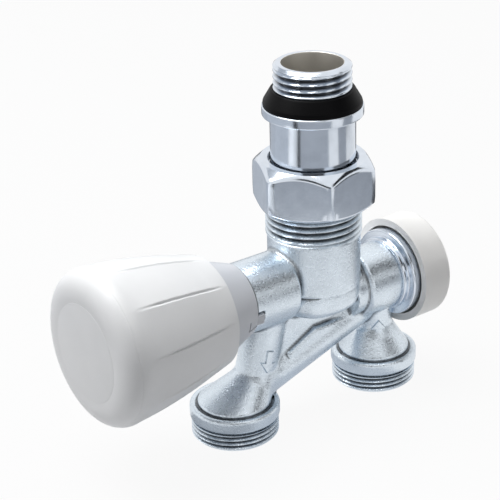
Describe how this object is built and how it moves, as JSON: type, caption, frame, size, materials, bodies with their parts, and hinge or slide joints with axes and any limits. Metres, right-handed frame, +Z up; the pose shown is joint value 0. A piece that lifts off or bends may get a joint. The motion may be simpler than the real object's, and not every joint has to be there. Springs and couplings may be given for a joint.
{
  "type": "radiator valve",
  "caption": "Single-pipe radiator valve with lobed handwheel, capped bypass regulator, union tail and threaded pipe connections below",
  "frame": {"origin": "midway between the two pipe connections, on their lower faces", "axes": "+Z up along the radiator union, +X from the handwheel towards the protective cap"},
  "size_m": [0.1122, 0.0424, 0.1005],
  "materials": {
    "plated": "sand-blasted nickel plate on forged brass",
    "polished": "bright nickel plate on turned brass",
    "brass": "turned brass",
    "steel": "turned stainless steel",
    "black_rubber": "black rubber",
    "white_plastic": "glossy white plastic",
    "grey_plastic": "light grey plastic"
  },
  "bodies": {
    "valve": {"valve_body": "plated", "tailpiece": "polished", "radiator_seal": "black_rubber", "tail_gasket": "black_rubber", "bonnet": "brass", "bonnet_o_ring": "black_rubber", "gland_nut": "brass", "spindle_o_ring": "black_rubber", "base_collar": "grey_plastic", "bypass_bonnet": "polished", "bypass_o_ring": "black_rubber", "bypass_spindle_o_ring": "black_rubber"},
    "obturator": {"disc_holder": "brass", "disc_washer": "black_rubber"},
    "handwheel": {"spindle": "steel", "handwheel": "white_plastic", "handwheel_disc": "white_plastic", "handwheel_screw": "steel"},
    "nut_ring": {"nut_snap_ring": "steel"},
    "union_nut": {"union_nut": "polished"},
    "bypass_slider": {"bypass_sleeve": "brass"},
    "bypass_screw": {"bypass_spindle": "brass"},
    "cap": {"protective_cap": "white_plastic"}
  },
  "joints": [
    {"name": "spindle_travel", "type": "slide", "parent": "valve", "child": "obturator", "axis": [-1, 0, 0], "range_m": [0, 0.00351]},
    {"name": "handwheel_turn", "type": "hinge", "parent": "obturator", "child": "handwheel", "pos_m": [0, 0, 0.0396], "axis": [-1, 0, 0], "range_deg": [0, 840]},
    {"name": "nut_travel", "type": "slide", "parent": "valve", "child": "nut_ring", "axis": [0, 0, 1], "range_m": [0, 0.0058]},
    {"name": "union_nut_turn", "type": "hinge", "parent": "nut_ring", "child": "union_nut", "pos_m": [0.0032, 0, 0.067], "axis": [0, 0, 1], "range_deg": [0, 1150]},
    {"name": "bypass_travel", "type": "slide", "parent": "valve", "child": "bypass_slider", "axis": [1, 0, 0], "range_m": [0, 0.0035]},
    {"name": "bypass_turn", "type": "hinge", "parent": "bypass_slider", "child": "bypass_screw", "pos_m": [0, 0, 0.0317], "axis": [1, 0, 0], "range_deg": [0, 1009]},
    {"name": "cap_pull", "type": "slide", "parent": "valve", "child": "cap", "axis": [1, 0, 0], "range_m": [0, 0.012]}
  ],
  "couplings": [
    {"joint": "spindle_travel", "follows": "handwheel_turn", "m_per_rad": 0.00023873},
    {"joint": "nut_travel", "follows": "union_nut_turn", "m_per_rad": 0.00028871},
    {"joint": "bypass_turn", "follows": "bypass_travel", "rad_per_m": 5026.5}
  ]
}
